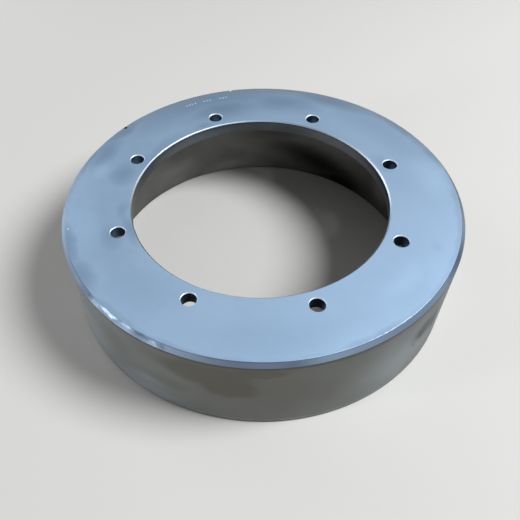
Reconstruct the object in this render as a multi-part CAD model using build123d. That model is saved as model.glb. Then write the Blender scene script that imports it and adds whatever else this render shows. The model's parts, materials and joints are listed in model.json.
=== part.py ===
from build123d import *
import os

# A brake drum turned from one casting. A thick plain rim is closed at one end by a flat ring-shaped
# web, which has a pilot bore and a circle of plain bolt holes. The drum stands on its open rim at
# z = 0, with its axis on +Z and the mounting face of the web on top. Sizes are in millimetres.

# Rim and web
brake_surface_diameter = 250.0  # the turned inside of the rim, which the shoes press on
rim_thickness = 25.0  # wall of the rim, from the brake surface to the plain outside
drum_width = 73.0  # from the open rim to the mounting face
web_thickness = 10.0

# Pilot bore and bolt holes, set in from the brake surface
bolt_head_room = 15.5  # from the brake surface in to the bolt circle, for bolt heads and a socket
pilot_land = 12.5  # from the bolt circle in to the pilot bore
bolt_hole_count = 8
bolt_hole_diameter = 11.0  # clearance for M10 bolts

# Corners, each chamfer at 45 degrees
outer_chamfer = 3.0  # between the mounting face and the outside of the rim
open_rim_chamfer = 1.0  # on the outer and the inner corner of the open rim
pilot_chamfer = 1.0  # at the pilot bore's mouth in the mounting face
bolt_hole_chamfer = 0.6  # at each bolt hole's mouth in the mounting face
inner_deburr = 0.3  # at the mouths of the pilot bore and the bolt holes inside the drum
web_fillet = 3.0  # radius of the inside corner between the web and the brake surface

# Places that follow from the sizes
brake_surface_radius = brake_surface_diameter / 2
outer_radius = brake_surface_radius + rim_thickness
bolt_circle_radius = brake_surface_radius - bolt_head_room
pilot_bore_radius = bolt_circle_radius - pilot_land
web_underside = drum_width - web_thickness
first_bolt_angle = 180 / bolt_hole_count  # the holes straddle the X and Y axes


def corner(sketch, radius, height):
    """The corner of the half section at that radius and height."""
    return sketch.vertices().sort_by_distance((radius, height))[0]


def half_section():
    """One half of the drum's cross-section, with radius along X and height along Y."""
    with BuildSketch() as section:
        with BuildLine():
            Polyline(
                (pilot_bore_radius, web_underside),
                (pilot_bore_radius, drum_width),
                (outer_radius, drum_width),
                (outer_radius, 0),
                (brake_surface_radius, 0),
                (brake_surface_radius, web_underside),
                close=True,
            )
        make_face()
        chamfer(corner(section, outer_radius, drum_width), outer_chamfer)
        chamfer(corner(section, outer_radius, 0), open_rim_chamfer)
        chamfer(corner(section, brake_surface_radius, 0), open_rim_chamfer)
        chamfer(corner(section, pilot_bore_radius, drum_width), pilot_chamfer)
        chamfer(corner(section, pilot_bore_radius, web_underside), inner_deburr)
        fillet(corner(section, brake_surface_radius, web_underside), web_fillet)
    return section.sketch


with BuildPart() as brake_drum:
    with BuildSketch(Plane.XZ):
        add(half_section())
    revolve(axis=Axis.Z)
    with Locations((0, 0, drum_width)):
        with PolarLocations(bolt_circle_radius, bolt_hole_count, start_angle=first_bolt_angle):
            Hole(bolt_hole_diameter / 2, depth=web_thickness)
    bolt_hole_mouths = brake_drum.edges(Select.LAST).filter_by(GeomType.CIRCLE).group_by(Axis.Z)
    chamfer(bolt_hole_mouths[-1], bolt_hole_chamfer)
    chamfer(bolt_hole_mouths[0], inner_deburr)

os.makedirs("parts", exist_ok=True)
export_step(brake_drum.part, "parts/brake_drum.step")
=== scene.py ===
"""A plain brake drum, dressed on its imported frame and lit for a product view.

One turned iron casting stands on its open rim. Every length is in metres, written as millimetres
times MM, and the drum's axis is the Z axis of the frame. A place on the drum is given as an angle
from +X round that axis, a radius and a height.
"""

import json
import logging
import math
from collections.abc import Callable, Mapping
from dataclasses import dataclass, replace
from enum import Enum
from functools import partial
from typing import Any

import bpy
from mathutils import Matrix, Vector

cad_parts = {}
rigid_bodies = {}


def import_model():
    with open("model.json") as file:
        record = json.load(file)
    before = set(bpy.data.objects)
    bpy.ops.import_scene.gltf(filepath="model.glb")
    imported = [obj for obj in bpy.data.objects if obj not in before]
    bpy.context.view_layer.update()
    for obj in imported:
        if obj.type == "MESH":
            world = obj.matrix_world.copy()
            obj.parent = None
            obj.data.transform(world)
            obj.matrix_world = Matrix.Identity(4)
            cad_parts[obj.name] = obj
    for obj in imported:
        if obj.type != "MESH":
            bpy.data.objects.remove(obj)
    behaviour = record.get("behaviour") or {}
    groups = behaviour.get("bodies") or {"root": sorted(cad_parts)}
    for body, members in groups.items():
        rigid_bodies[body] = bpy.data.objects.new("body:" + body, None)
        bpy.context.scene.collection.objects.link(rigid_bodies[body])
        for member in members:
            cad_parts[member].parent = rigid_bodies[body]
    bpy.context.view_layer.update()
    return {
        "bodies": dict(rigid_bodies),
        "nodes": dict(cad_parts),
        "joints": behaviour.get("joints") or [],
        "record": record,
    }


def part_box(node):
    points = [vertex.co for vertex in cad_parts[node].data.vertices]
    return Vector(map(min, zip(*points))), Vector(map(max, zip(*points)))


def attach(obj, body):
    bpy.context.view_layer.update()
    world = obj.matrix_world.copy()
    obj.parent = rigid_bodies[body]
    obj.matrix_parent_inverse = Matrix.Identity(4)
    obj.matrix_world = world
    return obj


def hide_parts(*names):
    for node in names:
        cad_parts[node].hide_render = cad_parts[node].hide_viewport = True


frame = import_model()

# The two types that nearly every function below takes or gives.
Tree = bpy.types.NodeTree
Socket = bpy.types.NodeSocket

log = logging.getLogger("brake_drum")

MM = 0.001
NODE = "brake_drum"

# Radii and heights, in mm, of the surfaces that the marks lie on.
TOP = 73
WALL = 150
BRAKE = 125
BORE = 97
# The outer chamfer's leg, in mm.
CHAMFER = 3
# Patches on a face reach this many mm into the metal, so that none is cut off there.
DEEP = 16

# Places of the Mix node's sockets, whose names repeat: its factor, then A, B and result by kind.
MIX_FACTOR = 0
MIX_SOCKETS = {"FLOAT": (2, 3, 0), "RGBA": (6, 7, 2)}
# Octaves of the noise in edges, flecks and grain, in the clouds and in the tool marks.
FINE_DETAIL = 3.0
CLOUD_DETAIL = 4.0
TOOL_MARK_DETAIL = 2.0
# How much the finer octaves of the flecks weigh.
FLECK_ROUGHNESS = 0.6
# The noise's middle colour, from which it shifts a point either way.
NOISE_MIDDLE = (0.5, 0.5, 0.5)
# Points closer than this are one, where the lathe's turn closes.
MERGE_DISTANCE = 0.001 * MM
# The balls that the nicks fit: how finely they are divided, and the height of their centres.
NICK_BALL_STEPS = 4
NICK_HEIGHT = 73.5 * MM

# Sums of the Vector Math node that give a number, and what keeps or drops a point's height.
LENGTHS = ("LENGTH", "DISTANCE")
LEVEL = (1.0, 1.0, 0.0)
UPRIGHT = (0.0, 0.0, 1.0)


class Zone(Enum):
    """The turned and drilled surfaces of the casting, each with a finish of its own."""

    BRAKE_SURFACE = "Brake surface finish"
    OUTER_WALL = "Outer wall finish"
    OUTER_CHAMFER = "Outer chamfer finish"
    MOUNTING_FACE = "Mounting face finish"
    PILOT_BORE = "Pilot bore finish"
    BOLT_HOLE = "Bolt hole finish"
    BROKEN_EDGE = "Broken edge finish"


class Lay(Enum):
    """Which way a cutting tool's marks run over a surface."""

    RINGS_ON_A_FACE = "rings on a face"
    RINGS_ON_A_WALL = "rings on a wall"


def linear(hex_colour: str) -> tuple[float, float, float, float]:
    """Turn an sRGB colour into the linear values that shaders and lamps take.

    Args:
        hex_colour: the colour as "#RRGGBB".

    Returns:
        Red, green, blue and an alpha of 1.
    """
    channels = [int(hex_colour[start : start + 2], 16) / 255 for start in (1, 3, 5)]
    red, green, blue = (
        c / 12.92 if c <= 0.04045 else ((c + 0.055) / 1.055) ** 2.4 for c in channels
    )
    return red, green, blue, 1.0


def add_node(
    tree: Tree,
    kind: str,
    feeds: Mapping[str | int, Any] | None = None,
    **settings: Any,
) -> bpy.types.Node:
    """Add one node to a tree, with its settings, its input values and its links.

    Args:
        tree: the shader or geometry tree.
        kind: the node's type name.
        feeds: what each input gets, by name or place: a socket, which is linked, or a value.
        settings: properties of the node itself.

    Returns:
        The new node.
    """
    node = tree.nodes.new(kind)
    for name, value in settings.items():
        setattr(node, name, value)
    for key, value in (feeds or {}).items():
        socket = node.inputs[key]
        if isinstance(value, Socket):
            tree.links.new(value, socket)
        else:
            socket.default_value = value
    return node


def made(
    tree: Tree,
    kind: str,
    feeds: Mapping[str | int, Any] | None = None,
    output: str | int = 0,
    **settings: Any,
) -> Socket:
    """Add one node as add_node does, and give its first output or the one that is asked for."""
    return add_node(tree, kind, feeds, **settings).outputs[output]


def maths(tree: Tree, operation: str, *values: Any, clamp: bool = False) -> Socket:
    """Work out the Math node's named sum of sockets or numbers, kept from 0 to 1 if clamped."""
    feeds = dict(enumerate(values))
    return made(tree, "ShaderNodeMath", feeds, operation=operation, use_clamp=clamp)


def vector_maths(tree: Tree, operation: str, *values: Any) -> Socket:
    """Work out one sum of vectors.

    Args:
        tree: the shader or geometry tree.
        operation: the sum's name in the Vector Math node.
        values: its inputs in order, each a socket or three numbers.

    Returns:
        The socket of the resulting vector, or of the number where the sum gives a length.
    """
    output = "Value" if operation in LENGTHS else "Vector"
    feeds = dict(enumerate(values))
    return made(tree, "ShaderNodeVectorMath", feeds, output, operation=operation)


def faded(
    tree: Tree,
    value: Socket,
    start: float = 0.0,
    end: float = 1.0,
    most: float = 1.0,
    ease: bool = True,
) -> Socket:
    """Turn a measure into a share that is level before its start and past its end.

    Args:
        tree: the material's tree.
        value: the measure.
        start: where the share is 0.
        end: where it has risen to its most.
        most: the greatest share.
        ease: whether it leaves and arrives gently.

    Returns:
        The share's socket.
    """
    feeds = {"Value": value, "From Min": start, "From Max": end, "To Max": most}
    kind = "SMOOTHSTEP" if ease else "LINEAR"
    return made(tree, "ShaderNodeMapRange", feeds, "Result", interpolation_type=kind)


def mixed(tree: Tree, kind: str, share: Any, first: Any, second: Any) -> Socket:
    """Mix two colours or two numbers.

    Args:
        tree: the material's tree.
        kind: "RGBA" for colours or "FLOAT" for numbers.
        share: 0 for all of the first, 1 for all of the second.
        first: a socket or a value.
        second: a socket or a value.

    Returns:
        The mixed socket.
    """
    place_a, place_b, result = MIX_SOCKETS[kind]
    feeds = {MIX_FACTOR: share, place_a: first, place_b: second}
    return made(tree, "ShaderNodeMix", feeds, result, data_type=kind)


def from_axis(tree: Tree, place: Socket) -> tuple[Socket, Socket]:
    """Give a point brought down to height 0, and its distance from the drum's axis."""
    level = vector_maths(tree, "MULTIPLY", place, LEVEL)
    return level, vector_maths(tree, "LENGTH", level)


def geometry_tree(name: str, inputs: Mapping[str, str]) -> tuple[Tree, bpy.types.Node]:
    """Start a geometry tree that has the named inputs and gives one geometry.

    Args:
        name: the tree's name.
        inputs: each input's name and socket type.

    Returns:
        The tree and its input node.
    """
    tree = bpy.data.node_groups.new(name, "GeometryNodeTree")
    for label, kind in inputs.items():
        tree.interface.new_socket(label, in_out="INPUT", socket_type=kind)
    tree.interface.new_socket("Geometry", in_out="OUTPUT", socket_type="NodeSocketGeometry")
    return tree, add_node(tree, "NodeGroupInput")


def drifted(tree: Tree, place: Socket, size: float, reach: float) -> Socket:
    """Shift each point by a slow noise, so that what is drawn there gets uneven edges.

    Args:
        tree: the material's tree.
        place: the point on the drum.
        size: how far apart the shifts vary.
        reach: how far a point may shift.

    Returns:
        The shifted point.
    """
    feeds = {"Vector": place, "Scale": 1 / size, "Detail": FINE_DETAIL}
    noise = made(tree, "ShaderNodeTexNoise", feeds, "Color")
    either_way = vector_maths(tree, "SUBTRACT", noise, NOISE_MIDDLE)
    return vector_maths(tree, "MULTIPLY_ADD", either_way, (reach * 2, reach * 2, reach * 2), place)


@dataclass(frozen=True)
class Unrolled:
    """A point on the drum, told as if the drum were unrolled.

    Attributes:
        radius: its distance from the axis.
        angle: its angle round the axis, in radians.
        height: its height.
    """

    radius: Socket
    angle: Socket
    height: Socket

    @classmethod
    def at(cls, tree: Tree, place: Socket) -> "Unrolled":
        """Unroll a point.

        Args:
            tree: the material's tree.
            place: the point on the drum.

        Returns:
            The same point, unrolled.
        """
        axes = add_node(tree, "ShaderNodeSeparateXYZ", {0: place}).outputs
        angle = maths(tree, "ARCTAN2", axes["Y"], axes["X"])
        return cls(from_axis(tree, place)[1], angle, axes["Z"])


@dataclass(frozen=True)
class Patch:
    """A soft oval place on the drum, which bends with the drum where it is long.

    Attributes:
        angle: degrees from +X round the drum's axis to its middle.
        radius: distance of its middle from the axis.
        height: height of its middle.
        size: its half-lengths outward, round the drum and up.
        strength: how much of it shows in its middle, from 0 to 1.
        lean: degrees by which its far end round the drum is raised.
    """

    angle: float
    radius: float
    height: float
    size: tuple[float, float, float]
    strength: float = 1.0
    lean: float = 0.0

    def mask(self, tree: Tree, place: Unrolled, softness: float) -> Socket:
        """Shade the oval from its strength in the middle to nothing at its edge.

        Args:
            tree: the material's tree.
            place: the point on the drum, with any unevenness already in it.
            softness: the share of its half-lengths over which it fades.

        Returns:
            A number socket.
        """
        middle = math.radians(self.angle)
        near = maths(tree, "WRAP", place.angle, middle + math.pi, middle - math.pi)
        arc = maths(tree, "MULTIPLY", near, self.radius)
        flat = {"X": place.radius, "Y": arc, "Z": place.height}
        own = made(
            tree,
            "ShaderNodeMapping",
            {
                "Vector": made(tree, "ShaderNodeCombineXYZ", flat),
                "Location": (self.radius, self.radius * middle, self.height),
                "Rotation": (math.radians(self.lean), 0.0, 0.0),
                "Scale": self.size,
            },
            vector_type="TEXTURE",
        )
        feeds = {"Vector": own}
        ball = made(tree, "ShaderNodeTexGradient", feeds, "Fac", gradient_type="SPHERICAL")
        return faded(tree, ball, end=softness, most=self.strength)


@dataclass(frozen=True)
class Ring:
    """A soft line round the drum, such as painted shade along an edge or a painted highlight.

    Attributes:
        radius: its distance from the axis.
        height: its height.
        reach: half its width.
        strength: how much of it shows, from 0 to 1.
    """

    radius: float
    height: float
    reach: float
    strength: float = 1.0

    def mask(self, tree: Tree, place: Unrolled, softness: float) -> Socket:
        """Shade the line from its strength in the middle to nothing at its edges.

        Args:
            tree: the material's tree.
            place: the point on the drum, with any unevenness already in it.
            softness: the share of its reach over which it fades.

        Returns:
            A number socket.
        """
        section = made(tree, "ShaderNodeCombineXYZ", {"X": place.radius, "Y": place.height})
        away = vector_maths(tree, "DISTANCE", section, (self.radius, self.height, 0.0))
        return faded(tree, away, self.reach, self.reach * (1 - softness), self.strength)


@dataclass(frozen=True)
class MarksAndPaintedLight:
    """A mark, painted light or painted shade on the metal, with every place where it shows.

    Attributes:
        colour: what the metal turns to in it.
        roughness: how rough the metal is in it.
        places: its patches and rings. Where they meet, the strongest shows.
        drift: how far their edges wander.
        drift_size: how far apart the wandering varies.
        softness: the share of each place's half-lengths over which it fades.
        bite: how far flecks of the bare surface eat into them, from 0 to 1.
        fleck_size: how far apart those flecks are.
        streak: how many times longer the flecks are round the drum than across.
        fleck_range: the noise from which flecks start to show and at which they show in full.
        fleck_guard: how steeply flecks stop where the mark itself has faded out.
    """

    colour: str
    roughness: float
    places: tuple[Patch | Ring, ...]
    softness: float = 1.0
    drift: float = 9 * MM
    drift_size: float = 22 * MM
    bite: float = 0.0
    fleck_size: float = 3 * MM
    streak: float = 1.0
    fleck_range: tuple[float, float] = (0.35, 0.65)
    fleck_guard: float = 4.0

    def mask(self, tree: Tree, place: Socket) -> Socket:
        """Say how much of the mark shows at a point.

        Args:
            tree: the material's tree.
            place: the point on the drum.

        Returns:
            A number socket.
        """
        uneven = Unrolled.at(tree, drifted(tree, place, self.drift_size, self.drift))
        total = None
        for spot in self.places:
            mask = spot.mask(tree, uneven, self.softness)
            total = mask if total is None else maths(tree, "MAXIMUM", total, mask)
        return self.flecked(tree, place, total) if self.bite else total

    def flecked(self, tree: Tree, place: Socket, total: Socket) -> Socket:
        """Let flecks of the bare surface eat into the mark, drawn out round the drum.

        Args:
            tree: the material's tree.
            place: the point on the drum.
            total: how much of the whole mark shows there.

        Returns:
            How much of it is left.
        """
        even = Unrolled.at(tree, place)
        arc = maths(tree, "MULTIPLY", even.angle, WALL * MM / self.streak)
        drawn = {"X": even.radius, "Y": arc, "Z": even.height}
        flecks = made(
            tree,
            "ShaderNodeTexNoise",
            {
                "Vector": made(tree, "ShaderNodeCombineXYZ", drawn),
                "Scale": 1 / self.fleck_size,
                "Detail": FINE_DETAIL,
                "Roughness": FLECK_ROUGHNESS,
            },
        )
        spread = faded(tree, flecks, *self.fleck_range, most=self.bite, ease=False)
        shown = faded(tree, maths(tree, "ADD", total, spread), start=self.bite, ease=False)
        inside = maths(tree, "MULTIPLY", total, self.fleck_guard, clamp=True)
        return maths(tree, "MULTIPLY", shown, inside)


@dataclass(frozen=True)
class MachinedIron:
    """Grey cast iron as the lathe left it, gone dull in store.

    A turned iron face scatters light softly and has a cool grey sheen. Handling and damp leave
    cloudy tarnish on it, knocks leave bright metal at its corners, and painted light and shade
    lie on it in places.

    Attributes:
        name: the material's name.
        metal: the clean cut colour.
        tarnish: what the clouds turn towards.
        roughness: of the clean metal.
        tarnish_roughness: how much rougher the tarnish is.
        cloud_size: how far apart the clouds are.
        cloud_share: how much the clouds show, from 0 to 1.
        cloud_range: the noise from which clouds start to show and at which they show in full.
        cloud_drift: how far apart the shifts of the clouds vary, and how far they shift.
        grain_size: of the fine cast and cut texture, drawn as coarse as it needs to show.
        grain_depth: height of that texture.
        lay: which way the tool marks run.
        mark_pitch: distance from one tool mark to the next, drawn coarser than the real feed.
        mark_depth: height of a tool mark.
        mark_tint: how much of the tarnish lies along the tool marks, from 0 to 1.
        marks: the marks, painted light and painted shade over the metal, from the lowest up.
    """

    name: str
    metal: str
    tarnish: str
    roughness: float = 0.5
    tarnish_roughness: float = 0.08
    cloud_size: float = 38 * MM
    cloud_share: float = 0.5
    cloud_range: tuple[float, float] = (0.35, 0.7)
    cloud_drift: tuple[float, float] = (22 * MM, 9 * MM)
    grain_size: float = 0.9 * MM
    grain_depth: float = 0.006 * MM
    lay: Lay = Lay.RINGS_ON_A_FACE
    mark_pitch: float = 1.2 * MM
    mark_depth: float = 0.004 * MM
    mark_tint: float = 0.15
    marks: tuple[MarksAndPaintedLight, ...] = ()

    def material(self) -> bpy.types.Material:
        """Build the finish as a node material.

        Returns:
            The material.
        """
        finish = bpy.data.materials.new(self.name)
        finish.use_nodes = True
        tree = finish.node_tree
        tree.nodes.clear()
        place = made(tree, "ShaderNodeTexCoord", output="Object")
        tool_marks = self.tool_marks(tree, place)
        dull = self.dullness(tree, place, tool_marks)
        colour = mixed(tree, "RGBA", dull, linear(self.metal), linear(self.tarnish))
        dull_roughness = self.roughness + self.tarnish_roughness
        roughness = mixed(tree, "FLOAT", dull, self.roughness, dull_roughness)
        # Lay each mark, painted light and painted shade over the metal in turn.
        for mark in self.marks:
            mask = mark.mask(tree, place)
            colour = mixed(tree, "RGBA", mask, colour, linear(mark.colour))
            roughness = mixed(tree, "FLOAT", mask, roughness, mark.roughness)
        iron = made(
            tree,
            "ShaderNodeBsdfPrincipled",
            {
                "Base Color": colour,
                "Metallic": 1.0,
                "Roughness": roughness,
                "Normal": self.relief(tree, place, tool_marks),
            },
        )
        add_node(tree, "ShaderNodeOutputMaterial", {"Surface": iron})
        return finish

    def dullness(self, tree: Tree, place: Socket, tool_marks: Socket) -> Socket:
        """Say how tarnished each point is, in clouds and along the tool marks.

        Args:
            tree: the material's tree.
            place: the point on the drum.
            tool_marks: the tool marks' height.

        Returns:
            A number socket from 0 to 1.
        """
        clouds = made(
            tree,
            "ShaderNodeTexNoise",
            {
                "Vector": drifted(tree, place, *self.cloud_drift),
                "Scale": 1 / self.cloud_size,
                "Detail": CLOUD_DETAIL,
            },
        )
        cloudy = faded(tree, clouds, *self.cloud_range, most=self.cloud_share)
        return maths(tree, "MULTIPLY_ADD", tool_marks, self.mark_tint, cloudy, clamp=True)

    def tool_marks(self, tree: Tree, place: Socket) -> Socket:
        """Draw the uneven rings that the cutting tool leaves.

        Args:
            tree: the material's tree.
            place: the point on the drum.

        Returns:
            Their height, from 0 to 1.
        """
        keep = LEVEL if self.lay is Lay.RINGS_ON_A_FACE else UPRIGHT
        distance = vector_maths(tree, "LENGTH", vector_maths(tree, "MULTIPLY", place, keep))
        feeds = {"W": distance, "Scale": 1 / self.mark_pitch, "Detail": TOOL_MARK_DETAIL}
        return made(tree, "ShaderNodeTexNoise", feeds, noise_dimensions="1D")

    def relief(self, tree: Tree, place: Socket, tool_marks: Socket) -> Socket:
        """Raise the fine grain and the tool marks.

        Args:
            tree: the material's tree.
            place: the point on the drum.
            tool_marks: the tool marks' height.

        Returns:
            The shading normal.
        """
        feeds = {"Vector": place, "Scale": 1 / self.grain_size, "Detail": FINE_DETAIL}
        grain = made(tree, "ShaderNodeTexNoise", feeds)
        grained = made(tree, "ShaderNodeBump", {"Height": grain, "Distance": self.grain_depth})
        feeds = {"Height": tool_marks, "Distance": self.mark_depth, "Normal": grained}
        return made(tree, "ShaderNodeBump", feeds)


def on_face(angle: float, radius: float, out: float, along: float, strength: float = 1.0) -> Patch:
    """Place a patch on the mounting face, with every length in mm and `along` round the drum."""
    return Patch(angle, radius * MM, TOP * MM, (out * MM, along * MM, DEEP * MM), strength)


def on_corner(
    radius: float, angle: float, height: float, along: float, reach: float, strength: float
) -> Patch:
    """Place a patch along a corner, with every length in mm and `along` round the drum."""
    return Patch(angle, radius * MM, height * MM, (reach * MM, along * MM, reach * MM), strength)


def on_chamfer(
    angle: float, along: float, strength: float = 1.0, height: float = 71.5, up: float = 8.0
) -> Patch:
    """Place a patch on the outer chamfer, with every length in mm and `along` round the drum."""
    return on_corner(WALL + TOP - CHAMFER - height, angle, height, along, up, strength)


def on_cylinder(
    radius: float,
    angle: float,
    height: float,
    along: float,
    up: float,
    strength: float = 1.0,
    lean: float = 0.0,
) -> Patch:
    """Place a patch on an upright surface, with every length in mm and `along` round the drum."""
    return Patch(angle, radius * MM, height * MM, (DEEP * MM, along * MM, up * MM), strength, lean)


on_wall = partial(on_cylinder, WALL)
on_bore = partial(on_cylinder, BORE)
on_brake = partial(on_cylinder, BRAKE)


def ring(radius: float, height: float, reach: float, strength: float = 1.0) -> Ring:
    """Place a line all the way round, with every length in mm."""
    return Ring(radius * MM, height * MM, reach * MM, strength)


def each(place: Callable[..., Patch | Ring], *rows: tuple[float, ...]) -> tuple[Patch | Ring, ...]:
    """Place one patch or line for each row of numbers, by a function such as on_face."""
    return tuple(place(*row) for row in rows)


FACE_MARKS_AND_PAINTED_LIGHT_AND_SHADE = (
    # A film of handling, with painted shade that darkens the face towards its back edge.
    MarksAndPaintedLight(
        "#71869B", 0.56,
        each(
            on_face,
            (112, 140, 36, 170, 0.78), (95, 147.5, 6, 140, 0.9), (66, 142, 18, 66, 0.92),
            (44, 132, 26, 84, 0.3), (38, 149, 13, 54), (21, 148, 8, 32, 0.8),
            (84, 128, 26, 56, 0.74), (108, 121, 24, 62, 0.82), (147, 144, 14, 46, 0.9),
            (159, 138, 17, 40, 0.82), (24, 104, 10, 16, 0.4), (120, 102, 9, 14, 0.5),
            (150, 101, 12, 60, 0.45), (168, 111, 20, 28, 0.74), (191, 103, 9, 20, 0.55),
            (190, 122, 40, 170, 0.32), (204, 116, 20, 28, 0.6), (203, 100, 9, 30, 0.68),
            (215, 147, 17, 34, 0.8), (203, 147, 11, 42, 0.85), (164, 147, 7, 36, 0.85),
            (302, 148, 8, 46, 0.75), (285, 132, 34, 130, 0.32), (340, 132, 6, 6, 0.2),
            (283, 139, 6, 8, 0.2),
        )
        + each(ring, (147, TOP, 4.5, 0.35)),
        drift=5 * MM,
    ),
    # Painted shade: the face's edge is greyer at the back.
    MarksAndPaintedLight("#848E97", 0.56, (on_face(86, 148, 12, 300, 0.95),), drift=4 * MM),
    # Paler places on the face, which at its left are painted light.
    MarksAndPaintedLight(
        "#AFC7DD", 0.46,
        each(
            on_face,
            (194, 131, 18, 40, 0.2), (168, 131, 10, 18, 0.3), (12, 133, 20, 34, 0.5),
            (322, 125, 12, 30, 0.25),
        ),
    ),
    # Painted highlights on the bore's corner and the front right outer corner; a small bright spot.
    MarksAndPaintedLight(
        "#D2DFEC", 0.42,
        each(ring, (98, TOP, 0.8, 0.35))
        + each(on_face, (310, 147.3, 1.6, 60, 0.5), (196.2, 144.4, 1.4, 1.6, 0.8)),
        drift=0.4 * MM,
        drift_size=5 * MM,
        bite=0.3,
    ),
)

CHAMFER_MARKS_AND_PAINTED_SHADE = (
    # Darker along the upper corner and in long patches; those at the right front are painted shade.
    MarksAndPaintedLight(
        "#4E5A66", 0.55,
        each(ring, (147.2, 72.8, 0.9, 0.65))
        + each(
            on_chamfer,
            (221, 15, 0.8), (231, 26, 0.9), (241, 15, 0.7), (236, 14, 0.6, 70.2, 1.8),
            (280.5, 16, 0.45), (311, 54, 0.68), (338, 34),
        ),
        drift=0.5 * MM,
        drift_size=12 * MM,
    ),
    # Stretches that have been rubbed paler.
    MarksAndPaintedLight(
        "#A4B8CB", 0.45,
        each(on_chamfer, (196, 60, 0.36), (255, 30, 0.2), (289, 22, 0.15), (350, 30, 0.2)),
        drift=0.6 * MM,
        drift_size=12 * MM,
    ),
    # The scrape: bright metal, broken up along the drum, with dirt dragged in at its ends.
    MarksAndPaintedLight(
        "#A9B9C8", 0.45,
        each(
            on_chamfer,
            (226, 9, 0.25, 71.8, 3), (231, 14, 0.45, 72.2, 2.8), (237, 9, 0.3, 72.4, 1.8),
            (246, 7, 0.35, 71, 3),
        ),
        softness=0.7,
        drift=0.8 * MM,
        drift_size=4 * MM,
        bite=0.3,
        fleck_size=1.3 * MM,
        streak=4.0,
    ),
    MarksAndPaintedLight(
        "#4A5561", 0.55,
        each(
            on_chamfer,
            (242, 11, 0.8, 72.3, 2.5), (223, 6, 0.6, 72, 4), (248, 6, 0.5, 72, 4),
        ),
        softness=0.8,
        drift=1.0 * MM,
        drift_size=5 * MM,
        bite=0.5,
        fleck_size=1.8 * MM,
        streak=3.0,
    ),
)

WALL_MARKS_AND_PAINTED_LIGHT_AND_SHADE = (
    # Painted light: paler places on the wall at its left and its right.
    MarksAndPaintedLight(
        "#9CA3A8", 0.57,
        each(
            on_wall,
            (201, 44, 42, 70, 0.55), (218, 20, 40, 40, 0.3), (240, 8, 50, 15, 0.5),
            (241, 19, 36, 12, 0.35), (312, 28, 56, 42, 0.6), (309, 44, 36, 26, 0.35),
        ),
    ),
    # A broad faint film of oil at the front, and a stain in it with a firmer edge at its right.
    MarksAndPaintedLight(
        "#625F55", 0.61,
        each(
            on_wall,
            (274, 44, 96, 66, 0.42), (246, 60, 36, 18, 0.4), (251, 31, 30, 14, 0.35),
            (232, 47, 24, 18, 0.35), (270, 66, 80, 8, 0.6),
        ),
        drift=4 * MM,
        drift_size=18 * MM,
    ),
    MarksAndPaintedLight(
        "#605D54", 0.61,
        each(
            on_wall,
            (259, 55, 40, 15, 0.7), (265, 44, 24, 15, 0.75), (261, 60, 36, 8, 0.6),
            (272, 63, 24, 6, 0.55),
        ),
        softness=0.45,
        drift=4 * MM,
        drift_size=14 * MM,
    ),
    # A leaf-shaped stain at the right with a run beside it, and a dot.
    MarksAndPaintedLight(
        "#454949", 0.6,
        each(
            on_wall,
            (321, 44, 19, 15, 0.7), (319.5, 41, 10, 8, 0.85, -40), (325.8, 41, 5, 20, 0.8),
            (317.4, 32.6, 1.8, 1.8, 0.95),
        ),
        softness=0.8,
        drift=1 * MM,
        drift_size=8 * MM,
    ),
    # Darker under the chamfer, painted contact shadow at the foot, a painted highlight above it.
    MarksAndPaintedLight(
        "#3B3E42", 0.6,
        each(
            on_wall,
            (222, 69.6, 26, 2, 0.6), (236, 69.6, 30, 1.9, 0.85), (300, 69, 60, 4, 0.4),
        )
        + each(ring, (WALL, 69.3, 2.6, 0.55), (WALL, 0.5, 1.8, 0.8)),
        drift=0.4 * MM,
        drift_size=10 * MM,
    ),
    MarksAndPaintedLight(
        "#A5A9AA", 0.52,
        (ring(WALL, 3.4, 1.6, 0.35),),
        drift=0.6 * MM,
        drift_size=14 * MM,
        bite=0.3,
        fleck_size=7 * MM,
    ),
)

BORE_PAINTED_LIGHT_AND_SHADE = (
    # Painted light at the bore's left; painted shade along both its edges, at its back and right.
    MarksAndPaintedLight("#8D969E", 0.4, (on_bore(132, 67, 62, 14, 0.7),), drift=2 * MM),
    MarksAndPaintedLight(
        "#2C3036", 0.5,
        each(ring, (BORE, 71.7, 1.5, 0.65), (BORE, 63, 0.9, 0.35))
        + each(on_bore, (75, 66, 24, 9, 0.35), (14, 70, 58, 4, 0.8)),
        drift=0.3 * MM,
    ),
)

EDGE_PAINTED_LIGHT_AND_SHADE = (
    # Painted shade: the bore's corner is duller at the back.
    MarksAndPaintedLight("#7F8E9C", 0.5, (on_face(74, 98, 12, 56, 0.85),), softness=0.7, drift=2 * MM),
    # Painted highlight: the corners of the bolt holes are paler all round, and rougher.
    MarksAndPaintedLight("#B3BFCB", 0.6, (ring(109.5, TOP, 10),), softness=0.3, drift=0.1 * MM),
    # Painted highlights on the bore's corner at the right and the left.
    MarksAndPaintedLight("#D3DDE6", 0.38, each(on_face, (16, 98, 4, 80, 0.5), (174, 98, 4, 34)), drift=1 * MM),
    # Painted shade on the lower half of the bore's corner at the back left narrows its highlight.
    MarksAndPaintedLight(
        "#33383E", 0.55,
        (on_corner(BORE, 130, 72, 76, 1.3, 0.85),),
        softness=0.45,
        drift=0.1 * MM,
    ),
    # Painted shade fills the dent at the back left of the rim.
    MarksAndPaintedLight("#15181C", 0.6, (on_face(144.7, 146, 5, 5),), softness=0.3),
)

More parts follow.
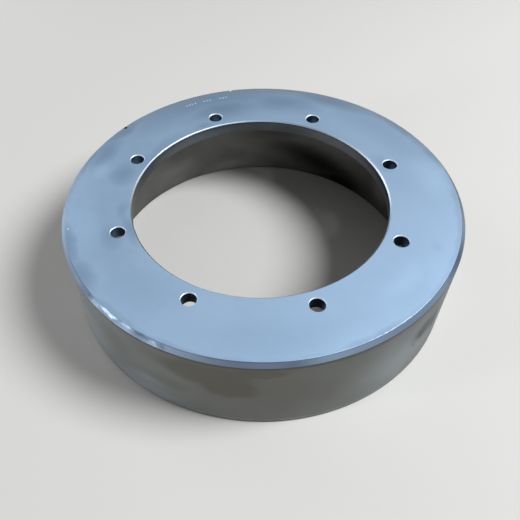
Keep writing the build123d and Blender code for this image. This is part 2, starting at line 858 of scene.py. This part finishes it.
BRAKE_PAINTED_LIGHT_AND_SHADE = (
    # Painted light in places, then painted shade that darkens the surface at its right.
    MarksAndPaintedLight(
        "#AEAEA8", 0.5,
        each(on_brake, (101, 0, 48, 18), (32, 22, 18, 18, 0.7), (130, 20, 30, 10, 0.15)),
        drift=4 * MM,
    ),
    MarksAndPaintedLight(
        "#2B2B2A", 0.42,
        each(
            on_brake,
            (68, 20, 96, 20, 0.95, 15), (54, 4, 50, 22), (86, 42, 60, 18, 0.7),
            (142, 0, 50, 8, 0.3),
        ),
        drift=4 * MM,
    ),
)

# Each zone's finish, with the painted light and painted shade that lie on it.
FINISHES_AND_PAINTED_LIGHT: dict[Zone, MachinedIron] = {
    # The face was ground or fine turned last, with soft smudges. It is painted the palest and
    # bluest, partly as a painted reflection of cool light from above.
    Zone.MOUNTING_FACE: MachinedIron(
        name="ground_grey_iron_face",
        metal="#9CB2C8",
        tarnish="#8299AE",
        cloud_size=60 * MM,
        cloud_share=0.35,
        mark_tint=0.1,
        marks=FACE_MARKS_AND_PAINTED_LIGHT_AND_SHADE,
    ),
    # The broad chamfer is steeper to the light, and its greyer, darker colour is painted shade. It
    # has one long scrape at the left front.
    Zone.OUTER_CHAMFER: MachinedIron(
        name="turned_grey_iron_chamfer",
        metal="#718090",
        tarnish="#65727F",
        roughness=0.48,
        marks=CHAMFER_MARKS_AND_PAINTED_SHADE,
    ),
    # The wall was only turned, and has gone dull and faintly brown where oil has dried on it.
    # Painted light lies at its sides and painted shade at its foot.
    Zone.OUTER_WALL: MachinedIron(
        name="dull_turned_grey_iron_wall",
        metal="#7A7C7A",
        tarnish="#6D6E6B",
        roughness=0.6,
        tarnish_roughness=0.03,
        cloud_share=0.4,
        lay=Lay.RINGS_ON_A_WALL,
        marks=WALL_MARKS_AND_PAINTED_LIGHT_AND_SHADE,
    ),
    # The bore was only skimmed; painted shade lies along its edges and painted light at its left.
    Zone.PILOT_BORE: MachinedIron(
        name="bored_grey_iron_edge",
        metal="#5F6265",
        tarnish="#505356",
        roughness=0.42,
        lay=Lay.RINGS_ON_A_WALL,
        mark_tint=0.3,
        marks=BORE_PAINTED_LIGHT_AND_SHADE,
    ),
    # The corners of the bore and holes were broken last, so they are fresh and catch the light.
    # Painted highlights and painted shade lie on them as well.
    Zone.BROKEN_EDGE: MachinedIron(
        name="fresh_cut_grey_iron_corner",
        metal="#9FACB8",
        tarnish="#8694A1",
        roughness=0.42,
        cloud_size=16 * MM,
        marks=EDGE_PAINTED_LIGHT_AND_SHADE,
    ),
    # The bolt holes were drilled; their inside is painted dark and blue, as painted shade.
    Zone.BOLT_HOLE: MachinedIron(
        name="drilled_grey_iron_hole",
        metal="#51677B",
        tarnish="#3C4E5F",
        roughness=0.42,
        lay=Lay.RINGS_ON_A_WALL,
    ),
    # The brake surface is bored smooth, with painted shade at its right down to the open rim and
    # painted light in places.
    Zone.BRAKE_SURFACE: MachinedIron(
        name="turned_grey_iron_brake_surface",
        metal="#7B7B77",
        tarnish="#676764",
        roughness=0.5,
        lay=Lay.RINGS_ON_A_WALL,
        mark_tint=0.3,
        marks=BRAKE_PAINTED_LIGHT_AND_SHADE,
    ),
}


@dataclass(frozen=True)
class Corner:
    """One corner of a section that is turned on the lathe.

    Attributes:
        radius: its distance from the axis.
        height: its height.
        rounding: the radius that it is rounded to.
    """

    radius: float
    height: float
    rounding: float = 0.0


def section_outline(name: str, corners: list[Corner], hold: float) -> bpy.types.Mesh:
    """Make a section a closed line of edges, which carries each corner's rounding.

    Each long side gets a holding point just past its roundings, so that smooth shading bends only
    at the corners and the faces between them stay true.

    Args:
        name: the mesh's name.
        corners: the section's corners, in order.
        hold: how far past a rounding its holding point is.

    Returns:
        A mesh of edges in the XY plane, with the radius along X and the height along Y.
    """
    points: list[Vector] = []
    roundings: list[float] = []
    for index, corner in enumerate(corners):
        following = corners[(index + 1) % len(corners)]
        here = Vector((corner.radius, corner.height, 0.0))
        side = Vector((following.radius, following.height, 0.0)) - here
        leave, arrive = corner.rounding + hold, following.rounding + hold
        points.append(here)
        roundings.append(corner.rounding)
        if hold > 0 and side.length > 2 * (leave + arrive):
            points.append(here + side.normalized() * leave)
            points.append(here + side - side.normalized() * arrive)
            roundings.extend((0.0, 0.0))
    outline = bpy.data.meshes.new(name)
    count = len(points)
    outline.from_pydata(points, [(i, (i + 1) % count) for i in range(count)], [])
    outline.attributes.new("rounding", "FLOAT", "POINT").data.foreach_set("value", roundings)
    return outline


def lathe_group() -> Tree:
    """Make the node group that rounds a section's corners and carries it round the Z axis.

    Returns:
        The geometry node group.
    """
    tree, given = geometry_tree(
        "lathe",
        {
            "Section": "NodeSocketGeometry",
            "Round segments": "NodeSocketInt",
            "Corner steps": "NodeSocketInt",
            "Path radius": "NodeSocketFloat",
        },
    )
    size = given.outputs
    rounding = made(
        tree, "GeometryNodeInputNamedAttribute", {"Name": "rounding"}, data_type="FLOAT"
    )
    rounded = made(
        tree,
        "GeometryNodeFilletCurve",
        {
            "Curve": made(tree, "GeometryNodeMeshToCurve", {"Mesh": size["Section"]}),
            "Count": size["Corner steps"],
            "Radius": rounding,
            "Limit Radius": False,
        },
        mode="POLY",
    )
    # A circle carries the section, so its radii count from that circle, with the height down.
    inward = maths(tree, "MULTIPLY", size["Path radius"], -1.0)
    shift = made(tree, "ShaderNodeCombineXYZ", {"X": inward})
    hung = made(
        tree,
        "GeometryNodeTransform",
        {"Geometry": rounded, "Translation": shift, "Scale": (1.0, -1.0, 1.0)},
    )
    path = made(
        tree,
        "GeometryNodeCurvePrimitiveCircle",
        {"Resolution": size["Round segments"], "Radius": size["Path radius"]},
    )
    feeds = {"Curve": path, "Profile Curve": hung, "Fill Caps": False}
    turned = made(tree, "GeometryNodeCurveToMesh", feeds)
    feeds = {"Geometry": turned, "Distance": MERGE_DISTANCE}
    closed = made(tree, "GeometryNodeMergeByDistance", feeds)
    outward = made(tree, "GeometryNodeFlipFaces", {"Mesh": closed})
    add_node(tree, "NodeGroupOutput", {"Geometry": outward})
    return tree


@dataclass(frozen=True)
class Nick:
    """A small round dent that a knock or a punch left.

    Attributes:
        angle: degrees from +X round the drum's axis.
        radius: distance of the ball that it would fit from the axis.
        height: that ball's height.
        size: that ball's radius.
    """

    angle: float
    radius: float
    height: float
    size: float


def punch_row(groups: tuple[tuple[float, int], ...], step: float, dot: Nick) -> tuple[Nick, ...]:
    """Set out groups of equal punch dots in one row on the face, which say nothing.

    Args:
        groups: degrees to the middle of each group, and how many dots it has.
        step: degrees from one dot to the next.
        dot: one dot, whose angle isn't used.

    Returns:
        Every dot.
    """
    return tuple(
        replace(dot, angle=middle + step * (place - (count - 1) / 2))
        for middle, count in groups
        for place in range(count)
    )


def within(tree: Tree, measure: Socket, band: tuple[float, float]) -> Socket:
    """Test that a measure lies in a band.

    Args:
        tree: the geometry tree.
        measure: what is tested.
        band: the least and the greatest value that pass.

    Returns:
        A yes or no socket.
    """
    low, high = band
    feeds = {0: measure, 1: (low + high) / 2, "Epsilon": (high - low) / 2}
    return made(tree, "FunctionNodeCompare", feeds, data_type="FLOAT", operation="EQUAL")


def both(tree: Tree, first: Socket, second: Socket) -> Socket:
    """Test that two tests both hold."""
    return made(tree, "FunctionNodeBooleanMath", {0: first, 1: second}, operation="AND")


@dataclass
class DrumCasting:
    """The whole drum: a thick rim closed at the top by a ring web with a pilot bore and bolt holes.

    Attributes:
        outer_radius: of the rim's outer wall.
        height: of the drum, and so of the mounting face.
        brake_radius: of the brake surface.
        web_underside: the height of the web's lower face.
        bore_radius: of the pilot bore.
        bolt_circle_radius: of the circle that the bolt holes lie on.
        hole_radius: of a bolt hole.
        hole_count: of the bolt holes.
        outer_chamfer: the leg of the chamfer round the mounting face.
        open_rim_chamfer: the leg of both chamfers at the foot.
        bore_chamfer: the leg of the chamfer at the bore's upper mouth.
        hole_chamfer: the same, for the bolt holes.
        inner_deburr: the leg of the broken corners at all mouths inside the drum.
        web_fillet: the fillet between the brake surface and the web.
        edge_rounding: how far the turned corners are worn round.
        skin: how far from a surface a face still counts as lying on it.
        round_segments: sides of the drum's round.
        hole_segments: sides of a bolt hole's round.
        corner_steps: steps in a rounded corner.
        crease_angle: the bend from which an edge stays sharp.
        nicks: two knocks at the rim and three short rows of plain punch dots.
    """

    outer_radius: float
    height: float
    brake_radius: float
    web_underside: float
    bore_radius: float
    bolt_circle_radius: float
    hole_radius: float
    hole_count: int
    outer_chamfer: float = CHAMFER * MM
    open_rim_chamfer: float = 1.0 * MM
    bore_chamfer: float = 1.0 * MM
    hole_chamfer: float = 0.6 * MM
    inner_deburr: float = 0.3 * MM
    web_fillet: float = 3.0 * MM
    edge_rounding: float = 0.35 * MM
    skin: float = 0.02 * MM
    round_segments: int = 360
    hole_segments: int = 96
    corner_steps: int = 5
    crease_angle: float = math.radians(20)
    nicks: tuple[Nick, ...] = (
        Nick(144.7, 145.9 * MM, NICK_HEIGHT, 1.6 * MM),
        Nick(102.6, 146.5 * MM, NICK_HEIGHT, 1.3 * MM),
        *punch_row(
            groups=((118.6, 4), (112.2, 3), (106.0, 3)),
            step=1.2,
            dot=Nick(0, 136.7 * MM, NICK_HEIGHT, 0.9 * MM),
        ),
    )

    @classmethod
    def from_frame(cls, packed: Mapping[str, Any]) -> "DrumCasting":
        """Read the drum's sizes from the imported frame.


        Returns:
            A drum with the sizes of the CAD node and of its mounts.
        """
        high_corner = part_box(NODE)[1]
        mounts = {mount["name"]: mount for mount in packed["record"]["mounts"]}
        bolts = mounts["bolt_circle"]["dims"]
        return cls(
            outer_radius=high_corner.x,
            height=high_corner.z,
            brake_radius=mounts["brake_surface"]["dims"]["r_mm"] * MM,
            web_underside=mounts["web_inner_face"]["pos_m"][2],
            bore_radius=mounts["pilot_bore"]["dims"]["r_mm"] * MM,
            bolt_circle_radius=bolts["pcd_mm"] / 2 * MM,
            hole_radius=bolts["hole_r_mm"] * MM,
            hole_count=bolts["count"],
        )

    def half_section(self) -> list[Corner]:
        """Trace half of the drum's cross-section.

        Returns:
            Its corners, from the top of the pilot bore down through the bore and round.
        """
        soft = self.edge_rounding
        bore, brake, outside = self.bore_radius, self.brake_radius, self.outer_radius
        under, top = self.web_underside, self.height
        return [
            Corner(bore + self.bore_chamfer, top, soft),
            Corner(bore, top - self.bore_chamfer, soft),
            Corner(bore, under + self.inner_deburr, soft),
            Corner(bore + self.inner_deburr, under, soft),
            Corner(brake, under, self.web_fillet),
            Corner(brake, self.open_rim_chamfer, soft),
            Corner(brake + self.open_rim_chamfer, 0.0, soft),
            Corner(outside - self.open_rim_chamfer, 0.0, soft),
            Corner(outside, self.open_rim_chamfer, soft),
            Corner(outside, top - self.outer_chamfer, soft),
            Corner(outside - self.outer_chamfer, top, soft),
        ]

    def drill_section(self) -> list[Corner]:
        """Trace half of what one bolt hole takes away, with a 45 degree flare at both its mouths.

        Returns:
            Its corners, from below the web up.
        """
        flare, deburr, reach = self.hole_chamfer, self.inner_deburr, 2 * self.hole_chamfer
        under, top, hole = self.web_underside, self.height, self.hole_radius
        return [
            Corner(0.0, under - reach),
            Corner(hole + deburr + reach, under - reach),
            Corner(hole, under + deburr),
            Corner(hole, top - flare),
            Corner(hole + flare + reach, top + reach),
            Corner(0.0, top + reach),
        ]

    def nick_places(self) -> bpy.types.Mesh:
        """Put a point at each nick.

        Returns:
            A mesh of points that carry the nicks' sizes.
        """
        places = bpy.data.meshes.new("nick_places")
        turns = [(nick, math.radians(nick.angle)) for nick in self.nicks]
        points = [
            (nick.radius * math.cos(turn), nick.radius * math.sin(turn), nick.height)
            for nick, turn in turns
        ]
        places.from_pydata(points, [], [])
        sizes = [nick.size for nick in self.nicks]
        places.attributes.new("size", "FLOAT", "POINT").data.foreach_set("value", sizes)
        return places

    def zone_bands(self) -> list[tuple[Zone, tuple[float, float], tuple[float, float]]]:
        """Say where each zone lies, where a later band is laid over an earlier one.

        Returns:
            Each zone, its least and greatest radius, and its least and greatest height.
        """
        skin, top, outside = self.skin, self.height, self.outer_radius
        wall_foot = outside - self.open_rim_chamfer
        chamfer_foot = top - self.outer_chamfer
        chamfer_head = outside - self.outer_chamfer - self.edge_rounding
        bore_mouth = self.bore_radius + self.bore_chamfer + self.edge_rounding
        return [
            (Zone.OUTER_WALL, (wall_foot, outside + skin), (-skin, chamfer_foot)),
            (Zone.OUTER_CHAMFER, (chamfer_head, outside + skin), (chamfer_foot, top)),
            (Zone.PILOT_BORE, (0.0, bore_mouth), (self.web_underside, top)),
            (Zone.BROKEN_EDGE, (0.0, bore_mouth), (top - self.bore_chamfer, top)),
            (Zone.MOUNTING_FACE, (0.0, outside), (top - skin, top + skin)),
        ]

    def casting_tree(self) -> Tree:
        """Make the tree that turns the drum, drills its bolt holes and lays its finishes.

        Returns:
            The geometry tree.
        """
        tree, given = geometry_tree(
            "turned_and_drilled_drum",
            {
                "Half section": "NodeSocketGeometry",
                "Drill section": "NodeSocketObject",
                "Nick places": "NodeSocketObject",
                "Round segments": "NodeSocketInt",
                "Corner steps": "NodeSocketInt",
                "Hole segments": "NodeSocketInt",
                "Hole count": "NodeSocketInt",
                "First hole angle": "NodeSocketFloat",
                "Bolt circle radius": "NodeSocketFloat",
                "Hole reach": "NodeSocketFloat",
                "Crease angle": "NodeSocketFloat",
                **{zone.value: "NodeSocketMaterial" for zone in Zone},
            },
        )
        size = given.outputs
        lathe = lathe_group()
        drill_section = {"Object": size["Drill section"]}
        turned, drill = (
            made(
                tree,
                "GeometryNodeGroup",
                {
                    "Section": section,
                    "Round segments": size[segments],
                    "Corner steps": size["Corner steps"],
                    "Path radius": size["Bolt circle radius"],
                },
                node_tree=lathe,
            )
            for section, segments in (
                (size["Half section"], "Round segments"),
                (made(tree, "GeometryNodeObjectInfo", drill_section, "Geometry"), "Hole segments"),
            )
        )
        circle = made(
            tree,
            "GeometryNodeMeshCircle",
            {"Vertices": size["Hole count"], "Radius": size["Bolt circle radius"]},
        )
        turn = made(tree, "ShaderNodeCombineXYZ", {"Z": size["First hole angle"]})
        centres = made(tree, "GeometryNodeTransform", {"Geometry": circle, "Rotation": turn})
        drills = made(tree, "GeometryNodeInstanceOnPoints", {"Points": centres, "Instance": drill})
        cutters = add_node(tree, "GeometryNodeJoinGeometry", {"Geometry": drills})
        tree.links.new(self.nick_balls(tree, size["Nick places"]), cutters.inputs["Geometry"])
        solid = made(tree, "GeometryNodeRealizeInstances", {"Geometry": cutters.outputs[0]})
        drilled = made(
            tree,
            "GeometryNodeMeshBoolean",
            {"Mesh 1": turned, "Mesh 2": solid},
            operation="DIFFERENCE",
            solver="EXACT",
        )
        smooth = made(tree, "GeometryNodeSetShadeSmooth", {"Geometry": drilled}, domain="FACE")
        crease = made(
            tree,
            "FunctionNodeCompare",
            {0: made(tree, "GeometryNodeInputMeshEdgeAngle"), 1: size["Crease angle"]},
            data_type="FLOAT",
            operation="GREATER_THAN",
        )
        feeds = {"Geometry": smooth, "Selection": crease, "Shade Smooth": False}
        creased = made(tree, "GeometryNodeSetShadeSmooth", feeds, domain="EDGE")
        whole = made(tree, "GeometryNodeRealizeInstances", {"Geometry": creased})
        finished = self.finish_zones(tree, size, whole, centres)
        add_node(tree, "NodeGroupOutput", {"Geometry": finished})
        return tree

    def nick_balls(self, tree: Tree, places: Socket) -> Socket:
        """Set a ball at each nick, whose faces are marked as struck.

        Args:
            tree: the geometry tree.
            places: the object that has a point at each nick.

        Returns:
            The balls, as instances.
        """
        points = made(tree, "GeometryNodeObjectInfo", {"Object": places}, "Geometry")
        size = made(tree, "GeometryNodeInputNamedAttribute", {"Name": "size"}, data_type="FLOAT")
        feeds = {"Radius": 1.0, "Subdivisions": NICK_BALL_STEPS}
        ball = made(tree, "GeometryNodeMeshIcoSphere", feeds)
        struck = made(
            tree,
            "GeometryNodeStoreNamedAttribute",
            {"Geometry": ball, "Name": "struck", "Value": True},
            data_type="BOOLEAN",
            domain="FACE",
        )
        feeds = {"Points": points, "Instance": struck, "Scale": size}
        return made(tree, "GeometryNodeInstanceOnPoints", feeds)

    def finish_zones(
        self,
        tree: Tree,
        size: bpy.types.NodeOutputs,
        whole: Socket,
        centres: Socket,
    ) -> Socket:
        """Lay each zone's finish on the drum.

        Args:
            tree: the geometry tree.
            size: the tree's named inputs.
            whole: the turned and drilled mesh.
            centres: the bolt holes' centres at height 0.

        Returns:
            The finished mesh.
        """
        position = made(tree, "GeometryNodeInputPosition")
        level, radius = from_axis(tree, position)
        height = made(tree, "ShaderNodeSeparateXYZ", {0: position}, "Z")
        feeds = {0: centres, "Sample Position": level}
        away = made(tree, "GeometryNodeProximity", feeds, "Distance", target_element="POINTS")
        drilled = made(
            tree,
            "FunctionNodeCompare",
            {0: away, 1: size["Hole reach"]},
            data_type="FLOAT",
            operation="LESS_THAN",
        )
        level_face = (self.web_underside - self.skin, self.web_underside + self.skin)
        mouth = (self.height - self.hole_chamfer, self.height)
        laid = [
            (Zone.BRAKE_SURFACE, True),
            (Zone.BOLT_HOLE, drilled),
            (Zone.BRAKE_SURFACE, within(tree, height, level_face)),
        ]
        for zone, radii, heights in self.zone_bands():
            beside, above = within(tree, radius, radii), within(tree, height, heights)
            laid.append((zone, both(tree, beside, above)))
        laid.insert(-1, (Zone.BROKEN_EDGE, both(tree, drilled, within(tree, height, mouth))))
        struck = {"Name": "struck"}
        hit = made(tree, "GeometryNodeInputNamedAttribute", struck, data_type="BOOLEAN")
        laid.append((Zone.BROKEN_EDGE, hit))
        finished = whole
        for zone, where in laid:
            feeds = {"Geometry": finished, "Selection": where, "Material": size[zone.value]}
            finished = made(tree, "GeometryNodeSetMaterial", feeds)
        return finished

    def build(self, finishes: Mapping[Zone, MachinedIron]) -> bpy.types.Object:
        """Turn and drill the drum and lay its finishes.

        Args:
            finishes: the finish of each zone.

        Returns:
            The drum as one plain mesh in its place.
        """
        outline = section_outline("drum_half_section", self.half_section(), self.edge_rounding)
        drum = bpy.data.objects.new("turned_drum", outline)
        drill_outline = section_outline("drill_half_section", self.drill_section(), 0.0)
        drill = bpy.data.objects.new("drill_section", drill_outline)
        nicks = bpy.data.objects.new("nick_places", self.nick_places())
        for part in (drum, drill, nicks):
            bpy.context.scene.collection.objects.link(part)
        lathe = drum.modifiers.new("casting", "NODES")
        lathe.node_group = self.casting_tree()
        values = {
            "Drill section": drill,
            "Nick places": nicks,
            "Round segments": self.round_segments,
            "Corner steps": self.corner_steps,
            "Hole segments": self.hole_segments,
            "Hole count": self.hole_count,
            "First hole angle": math.pi / self.hole_count,
            "Bolt circle radius": self.bolt_circle_radius,
            "Hole reach": self.hole_radius + self.hole_chamfer,
            "Crease angle": self.crease_angle,
            **{zone.value: finishes[zone].material() for zone in Zone},
        }
        for item in lathe.node_group.interface.items_tree:
            if item.name in values:
                lathe[item.identifier] = values[item.name]
        depsgraph = bpy.context.evaluated_depsgraph_get()
        plain = bpy.data.meshes.new_from_object(
            drum.evaluated_get(depsgraph), preserve_all_data_layers=True, depsgraph=depsgraph
        )
        # The nodes leave an empty slot before the finishes.
        plain.materials.pop(index=0)
        drum.modifiers.clear()
        drum.data = plain
        for helper in (drill, nicks):
            bpy.data.objects.remove(helper)
        return drum


@dataclass(frozen=True)
class SoftLamp:
    """One large round lamp behind a diffuser, which points at the drum's foot.

    Attributes:
        name: the lamp's name.
        colour: of its light.
        power: in watts.
        size: its diameter.
        distance: from the drum's foot to the lamp.
        azimuth: degrees from +X round the drum to the lamp.
        elevation: degrees above the horizon.
    """

    name: str
    colour: str
    power: float
    size: float
    distance: float
    azimuth: float
    elevation: float

    def hang(self) -> None:
        """Hang the lamp in its place."""
        light = bpy.data.lights.new(self.name, "AREA")
        light.shape = "DISK"
        light.size = self.size
        light.energy = self.power
        light.color = linear(self.colour)[:3]
        lamp = bpy.data.objects.new(self.name, light)
        turn = Matrix.Rotation(math.radians(self.azimuth), 4, "Z")
        tilt = Matrix.Rotation(math.radians(90 - self.elevation), 4, "Y")
        lamp.matrix_world = turn @ tilt @ Matrix.Translation((0, 0, self.distance))
        bpy.context.scene.collection.objects.link(lamp)


@dataclass(frozen=True)
class Studio:
    """A plain pale floor under soft lamps, in an even pale surround.

    Attributes:
        floor_colour: of the matt floor.
        floor_reach: half the floor's side.
        floor_roughness: of its paint.
        backdrop_low: the surround's colour at the horizon, as seen and as the metal reflects it.
        backdrop_high: the same, from backdrop_rise upwards.
        backdrop_rise: the height on a unit dome at which the surround is fully light.
        fill_colour: of the even light that the surround gives.
        fill_strength: of that light.
        lamps: a main lamp high at the right, and weak ones low at the left and the back left.
    """

    floor_colour: str = "#BEBAB3"
    floor_reach: float = 1.3
    floor_roughness: float = 0.9
    backdrop_low: str = "#8E9194"
    backdrop_high: str = "#E6EBF0"
    backdrop_rise: float = 0.9
    fill_colour: str = "#F4F8FF"
    fill_strength: float = 0.2
    lamps: tuple[SoftLamp, ...] = (
        SoftLamp("main_softbox", "#F2F8FF", 64.0, 0.95, 2.0, -5.0, 50.5),
        SoftLamp("left_softbox", "#F2F6FF", 17.5, 0.4, 1.6, 205.0, 7.5),
        SoftLamp("back_softbox", "#F2F6FF", 5.0, 0.8, 1.2, 146.0, 18.0),
    )

    def build(self) -> None:
        """Lay the floor, hang the lamps and set the surround."""
        self.lay_floor()
        for lamp in self.lamps:
            lamp.hang()
        self.set_surround()

    def set_surround(self) -> None:
        """Light the scene evenly from all round, and show the eye and the metal a pale backdrop."""
        world = bpy.data.worlds.new("pale_surround")
        bpy.context.scene.world = world
        world.use_nodes = True
        tree = world.node_tree
        tree.nodes.clear()
        direction = made(tree, "ShaderNodeTexCoord", output="Generated")
        height = made(tree, "ShaderNodeSeparateXYZ", {0: direction}, "Z")
        low, high = linear(self.backdrop_low), linear(self.backdrop_high)
        colour = mixed(tree, "RGBA", faded(tree, height, end=self.backdrop_rise), low, high)
        backdrop = made(tree, "ShaderNodeBackground", {"Color": colour})
        feeds = {"Color": linear(self.fill_colour), "Strength": self.fill_strength}
        fill = made(tree, "ShaderNodeBackground", feeds)
        ray = add_node(tree, "ShaderNodeLightPath").outputs
        seen = ray["Is Camera Ray"]
        for kind in ("Is Glossy Ray", "Is Transmission Ray"):
            seen = maths(tree, "MAXIMUM", seen, ray[kind])
        surround = made(tree, "ShaderNodeMixShader", {0: seen, 1: fill, 2: backdrop})
        add_node(tree, "ShaderNodeOutputWorld", {"Surface": surround})

    def lay_floor(self) -> None:
        """Lay a level floor of matt painted board at height 0."""
        far = self.floor_reach
        corners = [(-far, -far, 0.0), (far, -far, 0.0), (far, far, 0.0), (-far, far, 0.0)]
        mesh = bpy.data.meshes.new("floor")
        mesh.from_pydata(corners, [], [(0, 1, 2, 3)])
        floor = bpy.data.objects.new("floor", mesh)
        bpy.context.scene.collection.objects.link(floor)
        paint = bpy.data.materials.new("matt_painted_board")
        paint.use_nodes = True
        surface = paint.node_tree.nodes["Principled BSDF"].inputs
        surface["Base Color"].default_value = linear(self.floor_colour)
        surface["Roughness"].default_value = self.floor_roughness
        mesh.materials.append(paint)


@dataclass(frozen=True)
class DisplayCamera:
    """The camera that shows the drum from above its front, a little to the left of its middle.

    Attributes:
        distance: from the middle of the mounting face.
        azimuth: degrees round the drum from looking along +Y.
        elevation: degrees above the horizon.
        pan: degrees turned to the left of the middle.
        tilt: degrees turned above it.
        roll: degrees rolled anticlockwise.
        focal_pixels: the focal length, in pixels of the picture.
        picture_side: the square picture's side, in pixels.
        centre_column: where the lens's axis meets the picture, from its left.
        centre_row: the same, from its top.
        sensor: the sensor's width, in mm.
    """

    distance: float = 450.7 * MM
    azimuth: float = 1.70
    elevation: float = 41.81
    pan: float = 4.27
    tilt: float = -9.18
    roll: float = 0.31
    focal_pixels: float = 584.9
    picture_side: float = 520.0
    centre_column: float = 214.2
    centre_row: float = 291.2
    sensor: float = 36.0

    def build(self, height: float) -> None:
        """Set the camera up and make it the scene's.

        Args:
            height: of the mounting face.
        """
        lens = bpy.data.cameras.new("display_camera")
        lens.sensor_width = self.sensor
        lens.lens = self.sensor * self.focal_pixels / self.picture_side
        lens.shift_x = 0.5 - self.centre_column / self.picture_side
        lens.shift_y = self.centre_row / self.picture_side - 0.5
        camera = bpy.data.objects.new("display_camera", lens)
        turns = (
            (self.azimuth, "Z"),
            (90 - self.elevation, "X"),
            (self.pan, "Y"),
            (self.tilt, "X"),
            (self.roll, "Z"),
        )
        azimuth, elevation, pan, tilt, roll = (
            Matrix.Rotation(math.radians(angle), 4, axis) for angle, axis in turns
        )
        back = Matrix.Translation((0, 0, self.distance))
        middle = Matrix.Translation((0, 0, height))
        camera.matrix_world = middle @ azimuth @ elevation @ back @ pan @ tilt @ roll
        bpy.context.scene.collection.objects.link(camera)
        bpy.context.scene.camera = camera


def main() -> None:
    """Build the drum and the studio round it."""
    logging.basicConfig(level=logging.INFO)
    casting = DrumCasting.from_frame(frame)
    drum = casting.build(FINISHES_AND_PAINTED_LIGHT)
    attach(drum, "root")
    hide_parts(NODE)
    log.info("%s: %d faces", drum.name, len(drum.data.polygons))
    Studio().build()
    DisplayCamera().build(casting.height)
    bpy.context.scene.view_settings.view_transform = "Standard"


if __name__ == "__main__":
    main()
